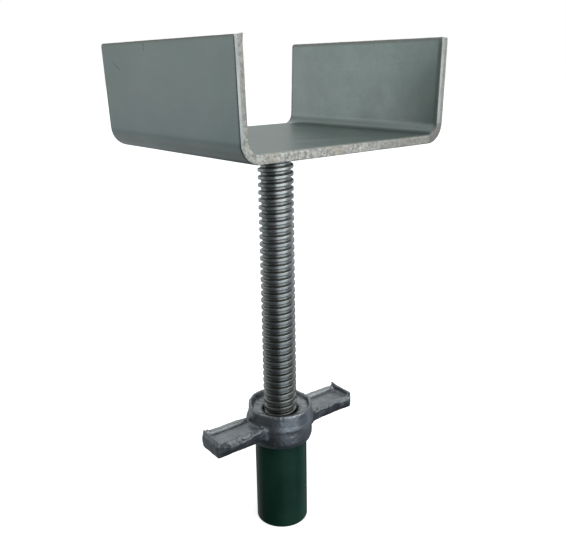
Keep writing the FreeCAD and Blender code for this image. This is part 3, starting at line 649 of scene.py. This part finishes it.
def nut_piece():
    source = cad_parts["jack_nut"]
    mesh = source.data.copy()
    bm = bmesh.new()
    bm.from_mesh(mesh)
    bmesh.ops.remove_doubles(bm, verts=bm.verts, dist=2e-6)
    bm.to_mesh(mesh)
    bm.free()
    rough = bpy.data.objects.new("casting_start", mesh)
    bpy.context.scene.collection.objects.link(rough)
    remesh = rough.modifiers.new("voxels", "REMESH")
    remesh.mode = "VOXEL"
    remesh.voxel_size = 0.00078
    bpy.context.view_layer.update()
    graph = bpy.context.evaluated_depsgraph_get()
    mesh = bpy.data.meshes.new_from_object(rough.evaluated_get(graph))
    bpy.data.objects.remove(rough)
    mesh.name = "wing_nut"
    mesh.materials.clear()
    for name in [a.name for a in mesh.attributes if not a.is_required and a.name != "position" and not a.name.startswith(".")]:
        mesh.attributes.remove(mesh.attributes[name])

    n = len(mesh.vertices)
    co = np.zeros(n * 3)
    mesh.vertices.foreach_get("co", co)
    co = co.reshape(-1, 3) / MM
    edges = np.zeros(len(mesh.edges) * 2, np.int64)
    mesh.edges.foreach_get("vertices", edges)
    edges = edges.reshape(-1, 2)
    radius = np.hypot(co[:, 0], co[:, 1])
    in_bore = (radius < 21.2) & (co[:, 2] < 143.0)
    in_socket = (radius < 31.2) & (co[:, 2] < 114.5)
    free = np.where(in_bore | in_socket, 0.0, 1.0)
    co = smooth_points(co, edges, 0.5 * free, 3)

    # along and across the wings
    u = co[:, 0] * math.cos(WING_TURN) - co[:, 1] * math.sin(WING_TURN)
    v = co[:, 0] * math.sin(WING_TURN) + co[:, 1] * math.cos(WING_TURN)
    w = np.abs(u)
    z = co[:, 2].copy()
    radius = np.hypot(u, v)
    azimuth = np.arctan2(co[:, 1], co[:, 0])
    outward = np.stack([np.cos(azimuth), np.sin(azimuth), np.zeros(n)], 1)
    left = u < 0
    move = np.zeros((n, 3))
    along = np.stack([u, np.zeros(n), np.zeros(n)], 1)
    # near rims fall away towards the outside: far more on one wing, and unevenly
    fall_left = np.interp(w, [40, 48, 53, 59, 67, 72, 75, 80, 85, 88, 91], [0.6, 1.9, 3.6, 4.9, 5.3, 4.6, 5.2, 6.3, 3.6, 1.6, 0.4])
    fall_right = np.interp(w, [36, 39, 42, 46, 57, 66, 72, 82, 89, 92], [4.4, 3.6, 2.6, 1.7, 1.5, 1.0, 1.2, 2.0, 1.4, 0.0])
    knobs = 0.75 * noise3(co * np.array([1, 1, 0]), 3.1, 74) + 0.45 * np.abs(noise3(co, 2.1, 71))
    fall = np.where(left, fall_left, fall_right) + 0.55 * noise3(along, 4.5, 72) + 0.35 * noise3(co, 5.0, 73) + knobs
    fall = fall * step(w, 34.0, 40.0) * (1 - step(w, 90.0, 93.0))
    near_rim = step(-v, 10.5, 18.2) * step(z, 121.5, 130.5) * step(radius, 36.9, 39.5)
    move[:, 2] -= near_rim * fall
    far_rim = step(v, 11.0, 14.0) * step(w, 41.0, 52.0) * (1 - step(w, 89.0, 94.0)) * step(z, 126.0, 131.5)
    move[:, 2] += far_rim * (np.where(left, 0.9, 1.5) + 0.35 * noise3(along, 16.0, 75) + 0.2 * noise3(along, 6.0, 76))
    # lumps in the tray's corner by the collar
    clump = (~left) * step(-v, 6.0, 10.0) * (1 - step(w, 50.0, 60.0)) * step(radius, 37.5, 40.0) * step(z, 127.0, 129.5)
    move[:, 2] += clump * 1.0 * np.maximum(noise3(co, 5.5, 77) + 0.15, 0)
    # the right wing is a little thinner, and both run down into the collar underneath
    move[:, 2] += np.where(left, -0.9, 0.6) * step(w, 42.0, 50.0) * (1 - step(z, 119.5, 128.0))
    depth = np.clip(radius - 36.4, 0, 8.0)
    sweep = 8.0 - np.sqrt(np.maximum(64.0 - (8.0 - depth) ** 2, 0))
    on_wing = step(radius, 36.5, 37.2) * (1 - step(z, 119.5, 126.0))
    move[:, 2] -= on_wing * np.minimum(sweep, 6.0)
    # sides of the wings: drafted inwards below, and wandering
    side = step(np.abs(v), 15.0, 18.0) * step(w, 42.0, 52.0)
    move[:, 1] += np.sign(v) * side * (0.3 + 0.4 * noise3(co * np.array([1, 0, 0.6]), 15.0, 78) - 0.5 * (1 - step(z, 118.5, 127.0)))
    # end walls: tops rounded off towards the outside, faces a little barrelled, corners rounded
    cap = step(w, 92.8, 96.6) * step(z, 132.0, 136.5)
    move[:, 2] -= cap * np.where(left, 2.6, 1.3)
    barrel = step(w, 93.0, 96.0) * (1.1 * np.exp(-((z - 127.5) / 5.5) ** 2) - 0.5 + 0.25 * noise3(co, 5.0, 86))
    move[:, 0] += np.sign(u) * barrel * np.where(left, 1.0, 0.5)
    past_w, past_v = w - 91.3, np.abs(v) - 13.1
    corner = (past_w > 0) & (past_v > 0)
    pull = np.where(corner, 1 - np.maximum(past_w, past_v) / np.maximum(np.hypot(past_w, past_v), 1e-6), 0.0)
    pull = pull * np.where(left, np.where(v < 0, 0.12, 0.5), 0.85)
    move[:, 0] -= np.sign(u) * pull * past_w
    move[:, 1] -= np.sign(v) * pull * past_v
    # flash left standing where the far rim meets the end wall
    horn_w, horn_v = np.where(left, 89.6, 92.8), np.where(left, 14.8, 15.8)
    spike = np.exp(-((w - horn_w) / 2.4) ** 2 - ((v - horn_v) / 2.6) ** 2) * step(z, 128.5, 132.5)
    move[:, 2] += np.where(left, 3.7, 2.3) * spike
    # round the collar: a slight waist under the parting line, which carries some flash
    shell = step(radius, 35.4, 36.2) * (1 - step(radius, 37.6, 39.5))
    line_z = 127.6 + 0.4 * np.sin(azimuth * 3.0 + 1.0) + 0.9 * np.exp(-((azimuth + 1.85) / 0.22) ** 2)
    ridge = np.exp(-((z - line_z) / 0.9) ** 2) * shell
    ring = np.stack([radius, azimuth * 36.0, np.zeros(n)], 1)
    flash = 0.02 + 0.22 * np.maximum(noise3(ring, 7.0, 81) + 0.1, 0)
    lip = np.exp(-((azimuth + 1.72) / 0.26) ** 2) * np.maximum(0.55 + 0.8 * noise3(ring, 3.0, 83), 0)
    ledge = step(z, 127.0, 128.2) * (1 - step(z, 128.2, 134.0)) * shell
    waist = 0.40 * np.exp(-((z - 123.0) / 2.7) ** 2) * shell
    move += outward * (ridge * (flash + 1.0 * lip) + 0.55 * ledge - waist)[:, None]
    # blow hole under it
    spot_s, spot_z = (azimuth + 1.878) * 36.6, z - 122.8
    hole = np.exp(-(spot_s / 1.4) ** 2 - (spot_z / 1.5) ** 2) * step(radius, 35.0, 36.0)
    ring_hole = np.exp(-((np.hypot(spot_s, spot_z) - 2.5) / 0.8) ** 2) * step(radius, 35.0, 36.0)
    move -= outward * (1.0 * hole - 0.45 * ring_hole)[:, None]
    # the dish's rim stands higher round the back, where it ends in a step
    round_back = azimuth % (2 * math.pi)
    back = step(round_back, math.radians(16), math.radians(24)) * (1 - step(round_back, math.radians(128), math.radians(200)))
    crown = step(radius, 31.0, 32.6) * (1 - step(radius, 37.8, 39.0)) * step(z, 140.5, 145.5)
    move[:, 2] += crown * (back * (2.5 + 0.7 * noise3(ring, 6.0, 87)) + 0.35 * noise3(ring, 5.0, 88) + 0.2 * noise3(ring, 2.6, 90))
    move += outward * (crown * (0.3 * noise3(ring, 8.0, 92) + 0.2 * noise3(co, 3.0, 93)))[:, None]
    # gusset that carries the left wing's far rim up the collar
    gusset = np.exp(-((round_back - math.radians(147)) / 0.20) ** 2) * shell * step(z, 131.0, 133.0)
    move += outward * (3.6 * gusset * np.clip((145.0 - z) / 12.0, 0, 1) ** 1.6)[:, None]
    # lumpy floor of the dish
    dish = step(radius, 21.5, 24.0) * (1 - step(radius, 30.5, 32.0)) * step(z, 138.0, 139.5)
    move[:, 2] += dish * (0.85 * fbm(co, 7.0, 2, 85))
    co = co + move * free[:, None]
    # run the roots of the wings into the collar, and take the sharpness off its rim
    root = np.exp(-((radius - 38.5) / 4.2) ** 2) * (1 - step(z, 134.0, 137.0))
    rim = step(radius, 31.8, 33.0) * step(z, 143.5, 145.5) * (1 - step(radius, 37.5, 38.5))
    co = smooth_points(co, edges, 0.55 * np.clip(root, 0, 1) * free, 16)
    co = smooth_points(co, edges, 0.5 * np.clip(rim * 0.8 + near_rim * 0.35, 0, 1) * free, 4)
    # a wide cove at the foot of the right end wall
    cove = (~left) * step(w, 85.5, 88.5) * (1 - step(w, 92.5, 94.5)) * step(z, 128.0, 129.5) * (1 - step(z, 135.0, 136.5))
    co = smooth_points(co, edges, 0.6 * cove, 26)

    mesh.vertices.foreach_set("co", (co * MM).ravel())
    mesh.update()
    normals = np.zeros(n * 3)
    mesh.vertices.foreach_get("normal", normals)
    normals = normals.reshape(-1, 3)
    grain = 0.11 * fbm(co, 7.0, 2, 91) + 0.08 * fbm(co, 2.4, 2, 95)
    pits = -0.25 * np.maximum(noise3(co, 3.0, 99) - 0.55, 0) / 0.45
    tray = (np.abs(v) < 11.8) & (z < 131.5) & (z > 128.4) & (w > 38)
    amount = np.where(tray, 0.80, 1.0 + 0.9 * near_rim) * free
    co = co + normals * ((grain + pits) * amount)[:, None]
    # the seat lies on the tube's end, and the sleeve round it, without cutting into it
    bearing = np.hypot(co[:, 0], co[:, 1])
    seat = (bearing < 30.3) & (co[:, 2] > 111.5) & (co[:, 2] < 113.6)
    co[seat, 2] = 113.6
    outermost = seat & (bearing > 29.2)
    co[outermost, :2] *= (30.4 / bearing[outermost])[:, None]
    sleeve = ~seat & (bearing >= 30.3) & (bearing < 30.6) & (co[:, 2] < 113.6)
    co[sleeve, :2] *= (30.6 / bearing[sleeve])[:, None]
    mesh.vertices.foreach_set("co", (co * MM).ravel())
    mesh.update()

    # how far each point stands proud of, or lies below, its neighbourhood
    wide = smooth_points(co, edges, np.full(n, 0.6), 9)
    mesh.vertices.foreach_get("normal", normals_flat := np.zeros(n * 3))
    normals = normals_flat.reshape(-1, 3)
    proud = ((co - wide) * normals).sum(1)
    proud = smooth_points(np.repeat(proud[:, None], 3, 1), edges, np.full(n, 0.5), 1)[:, 0]
    wear_and_highlight = step(proud, 0.05, 0.42) * (0.25 + 0.75 * step(co[:, 2], 124.0, 130.0))
    mouth = (1 - step(radius, 21.6, 22.6)) * step(z, 130.0, 134.0)
    # dirt and painted shade in recesses; painted shade fills the bore, the socket and the bore's mouth
    hollow = np.maximum(step(-proud, 0.08, 0.42), np.where(in_bore | in_socket, 1.0, mouth))
    # painted shade on the long sides of the wings, darkened where they face sideways
    skin = step(np.abs(normals[:, 1]), 0.40, 0.80) * step(np.abs(v), 13.5, 16.0) * step(radius, 37.2, 39.5)
    hollow = np.maximum(hollow, (np.where(left, 0.92, 0.84) + 0.22 * noise3(co, 6.0, 97)) * skin * (1 - step(z, 131.0, 134.0)))
    wear_and_highlight = wear_and_highlight * (1 - 0.75 * step(z, 140.0, 144.0)) * (1 - 0.8 * skin)
    # painted shade on the end faces of the wings, stronger on the left wing
    ends = step(np.abs(normals[:, 0]), 0.55, 0.85) * step(w, 94.0, 95.5)
    hollow = np.maximum(hollow, ends * np.where(left, 0.42 + 0.25 * noise3(co, 7.0, 89), 0.3))
    # painted shade on the foot of the collar under the wings, and beside the left wing's root on the near side; the
    # floor of the dish is scraped cleaner
    hollow = np.maximum(hollow, 0.60 * step(radius, 33.0, 35.0) * (1 - step(radius, 38.0, 40.0)) * (1 - step(z, 119.5, 127.5)))
    hollow = np.maximum(hollow, 0.62 * np.exp(-((radius - 39.0) / 2.6) ** 2) * step(-v, 9.0, 12.0) * left * (1 - step(z, 126.0, 130.0)))
    hollow = hollow * (1 - 0.7 * dish)
    wear_and_highlight = np.maximum(wear_and_highlight, dish * (0.68 + 0.30 * noise3(co, 5.0, 100)))
    wear_and_highlight = np.maximum(wear_and_highlight, tray * (0.28 + 0.16 * noise3(co, 7.0, 101) + 0.30 * noise3(co, 2.6, 103)))
    # painted shadow along the foot of the far rims, and a painted highlight on their tops and the upper edge of their
    # inner faces
    foot = np.exp(-((v - 11.4) / 1.0) ** 2) * step(w, 40.0, 44.0) * (1 - step(w, 89.0, 91.5)) * step(z, 128.0, 129.2) * (1 - step(z, 132.0, 133.0))
    hollow = np.maximum(hollow, 0.95 * foot)
    wear_and_highlight = np.maximum(wear_and_highlight, far_rim * step(v, 11.9, 12.9) * (0.80 + 0.3 * noise3(co, 9.0, 98)))
    inside = step(v, 11.6, 12.2) * (1 - step(v, 15.0, 16.0)) * step(w, 40.0, 44.0) * (1 - step(w, 88.0, 91.0)) * step(z, 129.6, 130.6)
    hollow = hollow * (1 - 0.9 * inside)
    wear_and_highlight = np.maximum(wear_and_highlight, inside * (0.95 + 0.3 * noise3(co, 8.0, 102)))
    hollow = np.clip(hollow, 0, 1)
    for key, values in (("wear_and_highlight", wear_and_highlight), ("hollow", hollow)):
        layer = mesh.attributes.new(key, "FLOAT", "POINT")
        layer.data.foreach_set("value", values.astype(np.float32))
    mesh.polygons.foreach_set("use_smooth", np.ones(len(mesh.polygons), bool))
    mesh.update()
    obj = bpy.data.objects.new("wing_nut", mesh)
    bpy.context.scene.collection.objects.link(obj)
    hand_over(obj, "nut", "jack_nut", cast_iron())
    return obj


# -------------------------------------------------------------------- prop tube
def tube_piece():
    segs = 160
    outer, inner, top = 30.15, 26.95, 113.5
    profile = [(inner, 0.6), (inner + 0.18, 0.18), (inner + 0.6, 0.0), (inner + 1.6, 0.0), (outer - 0.5, 0.0), (outer - 0.15, 0.15), (outer, 0.5)]
    profile += [(outer, 0.5 + (top - 1.0) * i / 56) for i in range(1, 57)]
    profile += [(outer - 0.15, top - 0.15), (outer - 0.5, top), (inner + 1.6, top), (inner + 0.5, top), (inner + 0.15, top - 0.15), (inner, top - 0.5)]
    profile += [(inner, top - 0.5 - (top - 1.1) * i / 24) for i in range(1, 24)]
    profile = np.array(profile)
    n = len(profile)
    theta = np.arange(segs) * 2 * math.pi / segs
    rr = np.broadcast_to(profile[:, 0][None, :], (segs, n)).copy()
    zz = np.broadcast_to(profile[:, 1][None, :], (segs, n)).copy()
    spot = np.stack([np.cos(theta)[:, None] * rr, np.sin(theta)[:, None] * rr, zz * 0.6], 2).reshape(-1, 3)
    wavy = (0.035 * fbm(spot, 22.0, 2, 111)).reshape(segs, n)
    rr = rr + np.where((rr > outer - 0.01), wavy, 0.0)
    verts = np.stack([rr * np.cos(theta)[:, None], rr * np.sin(theta)[:, None], zz], 2).reshape(-1, 3)
    faces = []
    for j in range(segs):
        for i in range(n):
            k, m = (j + 1) % segs, (i + 1) % n
            faces.append((j * n + i, k * n + i, k * n + m, j * n + m))
    obj = build("prop_tube", verts, faces)
    hand_over(obj, "tube", "tube", green_paint())
    return obj


plate_piece()
spindle_piece()
weld_piece()
nut_piece()
tube_piece()

# --------------------------------------------------------------- floor and light
floor_mesh = bpy.data.meshes.new("floor")
bm = bmesh.new()
bmesh.ops.create_circle(bm, cap_ends=True, segments=96, radius=20.0)
bm.to_mesh(floor_mesh)
bm.free()
floor = bpy.data.objects.new("floor", floor_mesh)
floor.location.z = -0.0002
bpy.context.scene.collection.objects.link(floor)
pale = Finish("pale_floor")
pale.set(Base_Color=pale.mix(pale.noise(3.0, 2.0), (0.80, 0.81, 0.805), (0.83, 0.84, 0.835)), Roughness=0.9, Emission_Color=(1.0, 1.0, 1.0), Emission_Strength=0.66)
floor_mesh.materials.append(pale.material)
floor.visible_glossy = floor.visible_diffuse = floor.visible_shadow = False

# a studio seen only in the reflections: pale above, dark low down, a bright wall to the right
world = bpy.data.worlds.new("studio")
world.use_nodes = True
sky = world.node_tree
sky.nodes.clear()


def sky_node(kind, **props):
    n = sky.nodes.new(kind)
    for key, value in props.items():
        setattr(n, key, value)
    return n


heading = sky_node("ShaderNodeTexCoord").outputs["Generated"]


def sky_ramp(value, low, high, to_low, to_high):
    n = sky_node("ShaderNodeMapRange", interpolation_type="SMOOTHSTEP")
    sky.links.new(value, n.inputs["Value"])
    for key, number in zip(("From Min", "From Max", "To Min", "To Max"), (low, high, to_low, to_high)):
        n.inputs[key].default_value = number
    return n.outputs["Result"]


def sky_toward(direction, low, high, to_low, to_high):
    n = sky_node("ShaderNodeVectorMath", operation="DOT_PRODUCT")
    sky.links.new(heading, n.inputs[0])
    n.inputs[1].default_value = Vector(direction).normalized()
    return sky_ramp(n.outputs["Value"], low, high, to_low, to_high)


def sky_round(direction, low, high, to_low, to_high):
    """The same, by compass direction alone."""
    level_out = sky_node("ShaderNodeVectorMath", operation="MULTIPLY")
    sky.links.new(heading, level_out.inputs[0])
    level_out.inputs[1].default_value = (1, 1, 0)
    unit = sky_node("ShaderNodeVectorMath", operation="NORMALIZE")
    sky.links.new(level_out.outputs["Vector"], unit.inputs[0])
    n = sky_node("ShaderNodeVectorMath", operation="DOT_PRODUCT")
    sky.links.new(unit.outputs["Vector"], n.inputs[0])
    n.inputs[1].default_value = Vector((*direction, 0)).normalized()
    return sky_ramp(n.outputs["Value"], low, high, to_low, to_high)


def sky_math(kind, a, b):
    n = sky_node("ShaderNodeMath", operation=kind)
    for value, socket in zip((a, b), n.inputs):
        if isinstance(value, bpy.types.NodeSocket):
            sky.links.new(value, socket)
        else:
            socket.default_value = value
    return n.outputs[0]


level = sky_toward((0, 0, 1), -0.47, 0.02, 0.07, 0.86)
haze = sky_math("MULTIPLY", sky_toward((0.72, 0.66, 0.15), 0.76, 0.98, 0.0, 0.49), sky_toward((0, 0, 1), 0.22, 0.42, 1.0, 0.0))
level = sky_math("MULTIPLY", level, sky_math("SUBTRACT", 1.0, haze))
# behind and to the left: an even level down to just below the horizon, and a lit ground
sector = sky_round((-0.50, 0.866), 0.50, 0.84, 0.0, 1.0)
even = sky_math("MULTIPLY", sky_toward((0, 0, 1), -0.32, -0.08, 0.32, 1.02), sky_toward((0, 0, 1), 0.10, 0.36, 1.0, 0.68))
swell = sky_math("MULTIPLY", sky_round((-0.766, 0.643), 0.960, 0.998, 0.0, 0.64), sky_toward((0, 0, 1), -0.17, -0.03, 0.0, 1.0))
even = sky_math("MULTIPLY", even, sky_math("ADD", swell, 0.63))
level = sky_math("ADD", sky_math("MULTIPLY", level, sky_math("SUBTRACT", 1.0, sector)), sky_math("MULTIPLY", even, sector))
shade =sky_math("MULTIPLY", sky_round((-0.829, 0.559), 0.90, 0.975, 0.0, 0.45), sky_toward((0, 0, 1), -0.34, -0.06, 1.0, 0.0))
level = sky_math("MULTIPLY", level, sky_math("SUBTRACT", 1.0, shade))
below =sky_toward((0, 0, 1), -0.36, -0.20, 0.0, 1.0)
dim = sky_math("MULTIPLY", sky_round((-0.985, -0.174), 0.62, 0.88, 0.0, 0.80), below)
dim = sky_math("ADD", dim, sky_math("MULTIPLY", sky_round((-0.899, -0.438), 0.74, 0.92, 0.0, 0.80), sky_math("SUBTRACT", 1.0, below)))
level = sky_math("MULTIPLY", level, sky_math("SUBTRACT", 1.0, dim))
level = sky_math("MULTIPLY", level, sky_round((0.90, -0.43), 0.70, 0.96, 1.0, 0.62))
level = sky_math("MAXIMUM", level, 0.065)
wall = sky_math("MULTIPLY", sky_round((-0.05, -0.999), 0.80, 0.90, 0.0, 1.0), sky_toward((0, 0, 1), -0.90, -0.20, 0.10, 1.0))
wall = sky_math("MULTIPLY", wall, sky_toward((0, 0, 1), 0.05, 0.42, 1.0, 0.25))
level = sky_math("ADD", level, sky_math("MULTIPLY", wall, 0.85))
ground = sky_math("MULTIPLY", sky_toward((0, 0, 1), -0.64, -0.40, 0.25, 1.0), sky_toward((0, 0, 1), -0.32, -0.14, 1.0, 0.0))
level = sky_math("ADD", level, sky_math("MULTIPLY", sky_round((-0.139, 0.990), 0.80, 0.955, 0.0, 0.35), ground))
level = sky_math("ADD", level, sky_toward((0.09, 0.70, 0.71), 0.85, 0.97, 0.0, 0.26))
low_band = sky_math("MULTIPLY", sky_toward((0, 0, 1), -0.85, -0.45, 0.3, 1.0), sky_toward((0, 0, 1), -0.35, -0.10, 1.0, 0.0))
low_right = sky_math("MULTIPLY", sky_round((0.96, -0.22), 0.84, 0.97, 0.0, 0.34), low_band)
level = sky_math("ADD", level, low_right)
glow = sky_node("ShaderNodeBackground")
tint = sky_node("ShaderNodeMix", data_type="RGBA")
warm = sky_math("MULTIPLY", sky_round((-0.139, 0.990), 0.80, 0.955, 0.0, 0.9), sky_toward((0, 0, 1), -0.30, -0.18, 1.0, 0.0))
warm = sky_math("MAXIMUM", sky_toward((0, 0, 1), -0.32, 0.0, 0.0, 1.0), warm)
sky.links.new(warm, tint.inputs["Factor"])
tint.inputs["A"].default_value = (0.84, 0.97, 1.10, 1)
tint.inputs["B"].default_value = (0.965, 1.0, 0.985, 1)
sky.links.new(tint.outputs["Result"], glow.inputs["Color"])
sky.links.new(level, glow.inputs["Strength"])
plain = sky_node("ShaderNodeBackground")
plain.inputs["Color"].default_value = (1.0, 1.0, 1.0, 1)
plain.inputs["Strength"].default_value = 1.0
choose = sky_node("ShaderNodeMixShader")
sky.links.new(sky_node("ShaderNodeLightPath").outputs["Is Camera Ray"], choose.inputs[0])
sky.links.new(glow.outputs[0], choose.inputs[1])
sky.links.new(plain.outputs[0], choose.inputs[2])
sky.links.new(choose.outputs[0], sky_node("ShaderNodeOutputWorld").inputs["Surface"])
bpy.context.scene.world = world


def softbox(name, spot, aim, width, height, power, colour=(1, 1, 1)):
    light = bpy.data.lights.new(name, "AREA")
    light.shape, light.size, light.size_y = "RECTANGLE", width, height
    light.energy, light.color = power, colour
    obj = bpy.data.objects.new(name, light)
    bpy.context.scene.collection.objects.link(obj)
    obj.location = spot
    obj.rotation_mode = "QUATERNION"
    obj.rotation_quaternion = (Vector(aim) - Vector(spot)).to_track_quat("-Z", "Y")
    return obj


softbox("key", (0.75, -1.75, 0.95), (0, 0, 0.3), 1.5, 1.6, 9.0)
softbox("top", (0.1, -0.40, 2.3), (0, -0.1, 0.2), 1.8, 1.6, 15.0)

view = bpy.context.scene.view_settings
view.view_transform = "Standard"
view.look = "None"
